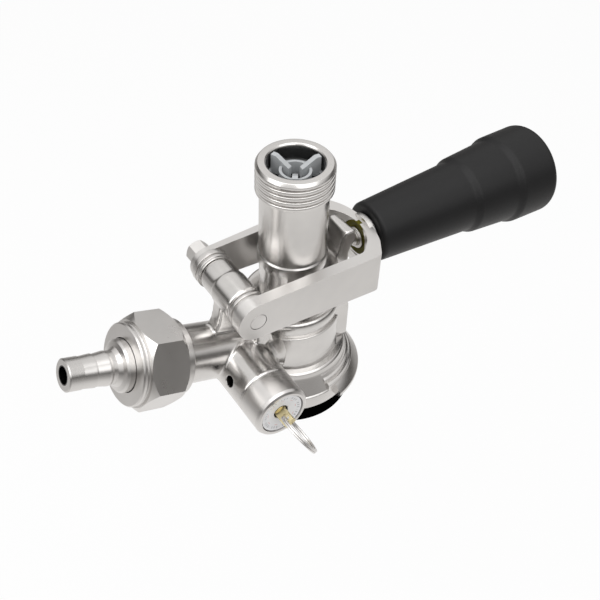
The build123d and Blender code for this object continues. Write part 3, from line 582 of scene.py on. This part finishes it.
def makeLabel():
    start, notch = radians(labelLook["start"]), labelLook["notch"]
    panel = rounded([(13.4, 20.0), (15.75, 20.0, 0.2), (15.55, 23, 2), (15.5, 33.4), (13.4, 33.4)], 0.35, 4)
    label = solidOf("label", lathe(panel, labelLook["start"], labelLook["sweep"], 90))
    # one end is hollowed by a round cutter that points outwards
    out, height = labelLook["notchAt"]
    aside = notch - labelLook["notchDepth"]
    edge = axisMatrix((out * cos(start) + aside * sin(start), out * sin(start) - aside * cos(start), height),
                      (cos(start), sin(start), 0), (0, 0, 1))
    turnedOff(label, [(0, -8), (notch, -8), (notch, 8), (0, 8)], edge, 160)
    softened(label, labelLook["edge"], 3)
    return flattened(dressed(label, labelLook))


makeLabel()
print("casting made")


probeLook = {"finish": "turnedSteelZ", "sharp": 30, "body": "probe",
             "replaces": ["probe_tube"], "slot": "turned_steel",
             "top": 89.0, "root": 10.35, "crest": 11.456, "pitch": 1.814, "turns": 4.6, "turnSteps": 96,
             "threadDrop": 1.35, "sunk": 0.4, "slotSpan": (47.9, 54.1), "slotDepth": 7.6, "slotOut": 13}


def makeProbe():
    top, root, crest, pitch, turns = (probeLook[key] for key in ("top", "root", "crest", "pitch", "turns"))
    tube = solidOf("probe", lathe(rounded([
        (5.5, -11), (6.8, -11), (6.8, -3.5), (7.8, -3.5), (7.8, 12), (10, 14), (10, 54.1), (10.65, 54.1),
        (10.65, 57.4), (10.2, 57.95), (10.2, 79.0), (10.35, 79.2), (root, top - 2.0),
        (crest - 0.05, top - 1.7), (crest - 0.05, top - 0.95), (10.7, top), (8.75, top), (8.2, top - 0.7),
        (8.2, 72.7), (5.5, 70)],
        0.22, 3), steps=160))
    low, high = probeLook["slotSpan"]
    deep, out = probeLook["slotDepth"], probeLook["slotOut"]
    for near, far in ((-out, -deep), (deep, out)):
        combined(tube, upright([(-out, low), (out, low), (out, high), (-out, high)], near, far))
    sunk = root - probeLook["sunk"]
    start = top - probeLook["threadDrop"] - turns * pitch
    section = [(sunk, -0.82), (crest - 0.25, -0.62), (crest - 0.05, -0.46), (crest, -0.3), (crest, 0.3),
               (crest - 0.05, 0.46), (crest - 0.25, 0.62), (sunk, 0.82)]
    ridge = coiled([(r, start + z) for r, z in section], pitch / probeLook["turnSteps"], turns,
                   int(probeLook["turnSteps"] * turns))
    whole = bmesh.new()
    whole.from_mesh(tube.data)
    whole = joined(whole, ridge)
    whole.to_mesh(tube.data)
    whole.free()
    return dressed(tube, probeLook)


makeProbe()
print("probe made")


yokeLook = {"finish": "leverSteel", "sharp": 40, "body": "lever",
            "replaces": ["lever_yoke"], "slot": "lever_steel",
            "outer": (16.2, 25.7, 27.3, 2.5), "inner": (12.4, 14.9, 24.3, 3.6), "edge": 0.4, "endRadius": 6.5,
            "slimFrom": 4, "slimOver": 24, "slimOuter": 13, "slimIn": 1.7, "slimTop": 0.17, "slimEnd": 0.83,
            "lipHalf": 6.5}


# the U seen from above: straight arms, a bow arc and rounded corners
def yokePlan(halfWidth, arcRadius, arcEnd, corner, tail):
    centre = arcEnd - arcRadius
    meet = centre + sqrt(arcRadius ** 2 - halfWidth ** 2)
    spread = atan2(halfWidth, meet - centre)
    bow = [(centre + arcRadius * cos(spread * part / 16), arcRadius * sin(spread * part / 16))
           for part in range(-16, 17)]
    first, last = bow[0], bow[-1]
    return rounded([(tail, -halfWidth, 0), first + (corner,)] + [point + (0,) for point in bow[6:-6]]
                   + [last + (corner,), (tail, halfWidth, 0)], 0, 6)


# the far arm is slimmer towards its end
def slimFarArm(yoke, x, z):
    for vertex in yoke.data.vertices:
        place = vertex.co
        if place.y > 0:
            near = min(1, max(0, (yokeLook["slimFrom"] - place.x) / yokeLook["slimOver"]))
            if place.y > yokeLook["slimOuter"]:
                place.y -= yokeLook["slimIn"] * near
            if place.z > z:
                place.z = z + (place.z - z) * (1 - yokeLook["slimTop"] * near)
            if place.x < x:
                place.x = x + (place.x - x) * yokeLook["slimEnd"]


def makeYoke():
    x, z, end = lay["pivotX"], lay["pivotZ"], yokeLook["endRadius"]
    yoke = solidOf("yoke", prism(yokePlan(*yokeLook["outer"], x - 12), 30, 70))
    combined(yoke, prism(yokePlan(*yokeLook["inner"], x - 14), 20, 80))
    tail = [(x - end * sin(pi * part / 24), z + end * cos(pi * part / 24)) for part in range(25)]
    side = tail + [(26.0, z - 8.62), (27.3, z - 7.5), (30, z - 5.0), (30, z + 5.65)]
    combined(yoke, upright(side, -20, 20), "INTERSECT")
    lip = [(24.1, z - 7), (26.4, z - 7), (26.0, z - 11.2), (24.5, z - 11.2)]
    combined(yoke, upright(lip, -yokeLook["lipHalf"], yokeLook["lipHalf"]), "UNION")
    slimFarArm(yoke, x, z)
    softened(yoke, yokeLook["edge"], 3)
    combined(yoke, moved(lathe([(0, 25.8), (7, 25.8), (7, 27.4), (0, 27.4)], steps=64), gripAxis), "UNION")
    turnedOff(yoke, [(0, 20), (5.82, 20), (5.82, 25.4), (5.02, 25.4), (5.02, 40), (0, 40)], gripAxis)
    turnedOff(yoke, [(0, -30), (2.72, -30), (2.72, 30), (0, 30)], hingeAxis)
    return flattened(dressed(yoke, yokeLook))


makeYoke()


boltLook = {"finish": "boltSteel", "sharp": 35, "body": "lever",
            "replaces": ["hinge_bolt"], "slot": "turned_steel",
            "corner": 3.75, "headTurn": 12, "head": (-20.55, -14.4), "edge": 0.12}


def makeBolt():
    corner = boltLook["corner"]
    turns = [radians(60 * side + boltLook["headTurn"]) for side in range(6)]
    head = prism([(corner * cos(turn), corner * sin(turn)) for turn in turns], *boltLook["head"])
    bolt = solidOf("bolt", moved(head, hingeAxis))
    crown = lathe([(0, -20.6), (3.2, -20.6), (3.8, -20.1), (3.8, -14), (0, -14)], steps=48)
    combined(bolt, moved(crown, hingeAxis), "INTERSECT")
    softened(bolt, boltLook["edge"], 2, 25)
    shank = lathe(rounded([(0, -15), (2.6, -15), (2.6, 16.18, 0.15), (0, 16.18)], 0), steps=64)
    combined(bolt, moved(shank, hingeAxis), "UNION")
    return flattened(dressed(bolt, boltLook))


makeBolt()


spacerLook = {"finish": "turnedSteelY", "sharp": 35, "body": "body", "replaces": ["hinge_spacers"],
              "slot": "turned_steel", "near": 9.0, "far": 8.2, "end": 12.3, "rim": 6.0, "bore": 2.75}


# a collar with two rims and a groove between them
def spacerRing(low, high, turn):
    rim, bore = spacerLook["rim"], spacerLook["bore"]
    profile = [(bore, low), (5.5, low), (5.5, low + 0.35), (rim, low + 0.45), (rim, low + 1.45),
               (5.35, low + 1.55), (5.35, low + 1.95), (rim, low + 2.05), (rim, high - 0.1), (5.6, high),
               (bore, high)]
    return moved(lathe(rounded(profile, 0.16, 3), steps=96), hingeAxis @ turn)


def makeSpacers():
    near = spacerRing(spacerLook["near"], spacerLook["end"], Matrix())
    far = spacerRing(spacerLook["far"], spacerLook["end"], Matrix.Rotation(pi, 4, "X"))
    return dressed(solidOf("spacers", joined(near, far)), spacerLook)


makeSpacers()


ringLook = {"finish": "boltSteel", "sharp": 50, "body": "pull_ring",
            "replaces": ["pull_ring"], "slot": "spring_steel",
            "radius": 6.6, "half": 0.52, "thick": 0.56, "pitch": 0.6, "turns": 1.95,
            "turnSteps": 72, "eyeAt": 32.3}


def makeRing():
    radius, half, thick = ringLook["radius"], ringLook["half"], ringLook["thick"]
    pitch, turns = ringLook["pitch"], ringLook["turns"]
    low = -(pitch * turns + thick) / 2
    inner, outer = radius - half, radius + half
    wire = rounded([(inner, 0), (outer, 0), (outer, thick), (inner, thick)], 0.2, 4)
    steps = int(ringLook["turnSteps"] * turns)
    ring = coiled([(r, low + z) for r, z in wire], pitch * turns / steps, turns, steps)
    swing = Matrix.Translation((0, 0, ringLook["eyeAt"] + radius)) @ Matrix.Rotation(radians(90), 4, "Y")
    return dressed(solidOf("ring", moved(ring, valveAxis @ ringTurn @ swing)), ringLook)


makeRing()
print("yoke and ring made")


dialLook = {"finish": "dialPrint", "sharp": 30, "body": "body",
            "replaces": ["prv_dial"], "slot": "white_dial"}


def makeDial():
    dish = lathe(rounded([
        (2.5, 28.9), (6.85, 28.9), (6.85, 29.75), (6.5, 29.75), (3.4, 29.15), (2.5, 29.1)],
        0.12, 3), steps=96)
    return dressed(solidOf("dial", moved(dish, valveAxis)), dialLook)


makeDial()


stemLook = {"finish": "brass", "sharp": 35, "body": "prv", "replaces": ["prv_stem"], "slot": "brass",
            "tabHalf": (1.75, 1.1), "tabSpan": (28.5, 34.1), "tabCorner": 0.5, "eye": 1.15, "edge": 0.12}


def makeStem():
    pin = lathe(rounded([
        (0, 16.2), (4.2, 16.2), (4.2, 17.2), (1.9, 17.6), (1.9, 28.9), (0, 28.9)], 0.1, 3), steps=64)
    stem = solidOf("stem", moved(pin, valveAxis))
    wide, deep = stemLook["tabHalf"]
    plan = rounded([(-wide, -deep), (wide, -deep), (wide, deep), (-wide, deep)], stemLook["tabCorner"])
    combined(stem, moved(prism(plan, *stemLook["tabSpan"]), valveAxis @ ringTurn), "UNION")
    across = Matrix.Translation((0, 0, ringLook["eyeAt"])) @ Matrix.Rotation(radians(90), 4, "X")
    eye = stemLook["eye"]
    turnedOff(stem, [(0, -5), (eye, -5), (eye, 5), (0, 5)], valveAxis @ ringTurn @ across, 48)
    softened(stem, stemLook["edge"], 2)
    return flattened(dressed(stem, stemLook))


makeStem()


linerLook = {"finish": "turnedSteelX", "sharp": 35, "body": "lever",
             "replaces": ["latch_bush"], "slot": "turned_steel"}


def makeLiner():
    ring = lathe(rounded([
        (2.58, 23.5), (3.4, 23.5), (3.55, 23.7), (3.55, 24.3), (2.58, 24.3)], 0.15, 3), steps=64)
    return dressed(solidOf("liner", moved(ring, gripAxis)), linerLook)


makeLiner()


bushLook = {"finish": "bushOlive", "sharp": 35, "body": "lever",
            "replaces": ["latch_bush"], "slot": "olive_plastic"}


def makeBush():
    ring = lathe(rounded([(3.56, 24.25), (5.78, 23.9), (5.78, 25.35), (3.56, 25.35)], 0.1, 3), steps=64)
    return dressed(solidOf("bush", moved(ring, gripAxis)), bushLook)


makeBush()


# ---- studio

cameraSetup = {"place": (-0.12260, -0.17870, 0.24547), "turn": (45.889, -2.039, -33.280), "lens": 57.44}
cameraData = bpy.data.cameras.new("camera")
cameraData.lens = cameraSetup["lens"]
cameraData.sensor_width = 36.0
camera = bpy.data.objects.new("camera", cameraData)
camera.location = cameraSetup["place"]
camera.rotation_euler = [radians(angle) for angle in cameraSetup["turn"]]
bpy.context.scene.collection.objects.link(camera)
bpy.context.scene.camera = camera
bpy.context.scene.view_settings.view_transform = "Standard"

floorSetup = {"drop": 0.14, "size": 6.0, "shade": 0.86, "whiteShare": 0.9, "glowStart": 1.25, "glowFall": 1.9}


# seen directly or through a clear piece, and mirrored
def raysOf(shader):
    path = shader.tree.nodes.new("ShaderNodeLightPath")
    camera, through, glossy = (Signal(shader.tree, path.outputs[name])
                               for name in ("Is Camera Ray", "Is Transmission Ray", "Is Glossy Ray"))
    return shader.clamped(camera + through), glossy


def makeFloor():
    shape = bmesh.new()
    bmesh.ops.create_grid(shape, x_segments=1, y_segments=1, size=floorSetup["size"] / 2)
    bmesh.ops.translate(shape, verts=shape.verts, vec=(0, 0, cadBox[0][2] - floorSetup["drop"]))
    mesh = bpy.data.meshes.new("floor")
    shape.to_mesh(mesh)
    shape.free()
    floor = bpy.data.objects.new("floor", mesh)
    bpy.context.scene.collection.objects.link(floor)
    material, shader = newFinish("floorWhite")
    seen, mirrored = raysOf(shader)
    x, y, z = shader.axes(shader.objectPlace())
    far = shader.node("ShaderNodeMath", {"operation": "SQRT"}, {0: x * x + y * y})
    fade = shader.clamped(floorSetup["glowStart"] - far * floorSetup["glowFall"])
    matt = shader.node("ShaderNodeBsdfDiffuse", None, {"Color": rgba((floorSetup["shade"],) * 3)}, "BSDF")
    white = shader.node("ShaderNodeEmission", None, {"Color": rgba((1, 1, 1)), "Strength": 1.0}, "Emission")
    # painted reflection: mirrored rays see the floor glow, pale near the middle and darker further out
    tone = shader.blend(fade, rgba((0.42, 0.41, 0.40)), rgba((0.95, 0.935, 0.92)))
    glow = shader.node("ShaderNodeEmission", None, {"Color": tone, "Strength": 1.0}, "Emission")
    # the white seen directly still lets a trace of the shadow through
    share = seen * floorSetup["whiteShare"]
    base = shader.node("ShaderNodeMixShader", None, {0: share, 1: matt, 2: white}, "Shader")
    skin = shader.node("ShaderNodeMixShader", None, {0: mirrored, 1: base, 2: glow}, "Shader")
    shader.output(skin)
    mesh.materials.append(material)
    return floor


makeFloor()

lamps = {
    "overhead": {"place": (-0.10, -0.05, 0.95), "aim": (0, 0, 0.04), "size": (1.1, 1.1), "power": 4.2},
    "left": {"place": (-0.75, 0.05, 0.65), "aim": (-0.02, 0, 0.04), "size": (0.6, 0.9), "power": 2.2},
    "front": {"place": (0.05, -0.80, 0.75), "aim": (0.02, 0, 0.04), "size": (0.9, 0.6), "power": 1.8},
}


def makeLamps():
    for name, lamp in lamps.items():
        data = bpy.data.lights.new(name, "AREA")
        data.shape = "RECTANGLE"
        data.size, data.size_y = lamp["size"]
        data.energy = lamp["power"]
        thing = bpy.data.objects.new(name, data)
        thing.location = lamp["place"]
        aim = Vector(lamp["aim"]) - Vector(lamp["place"])
        thing.rotation_euler = aim.to_track_quat("-Z", "Y").to_euler()
        bpy.context.scene.collection.objects.link(thing)


makeLamps()


def makeWorld():
    world = bpy.data.worlds.new("studio")
    world.use_nodes = True
    bpy.context.scene.world = world
    shader = Shader(world.node_tree)
    direction = shader.node("ShaderNodeTexCoord", out="Generated")
    x, y, z = shader.axes(direction)
    seen, mirrored = raysOf(shader)
    dome = shader.node("ShaderNodeValToRGB", {"stops": (
        (0.0, rgba((0.26, 0.25, 0.24))), (0.05, rgba((0.07, 0.065, 0.06))),
        (0.20, rgba((0.06, 0.056, 0.052))),
        (0.36, rgba((0.70, 0.69, 0.68))), (0.56, rgba((0.90, 0.89, 0.88))), (0.75, rgba((0.82, 0.81, 0.80))),
        (1.0, rgba((0.90, 0.89, 0.88))))}, {"Fac": z}, "Color")
    sky = shader.node("ShaderNodeBackground", None, {"Color": rgba((0.80, 0.80, 0.80)), "Strength": 0.75}, 0)
    mirror = shader.node("ShaderNodeBackground", None, {"Color": dome, "Strength": 1.0}, 0)
    white = shader.node("ShaderNodeBackground", None, {"Color": rgba((1, 1, 1)), "Strength": 1.0}, 0)
    lit = shader.node("ShaderNodeMixShader", None, {0: mirrored, 1: sky, 2: mirror}, 0)
    both = shader.node("ShaderNodeMixShader", None, {0: seen, 1: lit, 2: white}, 0)
    node = shader.tree.nodes.new("ShaderNodeOutputWorld")
    shader.tree.links.new(both.socket, node.inputs["Surface"])


makeWorld()
print("studio set")
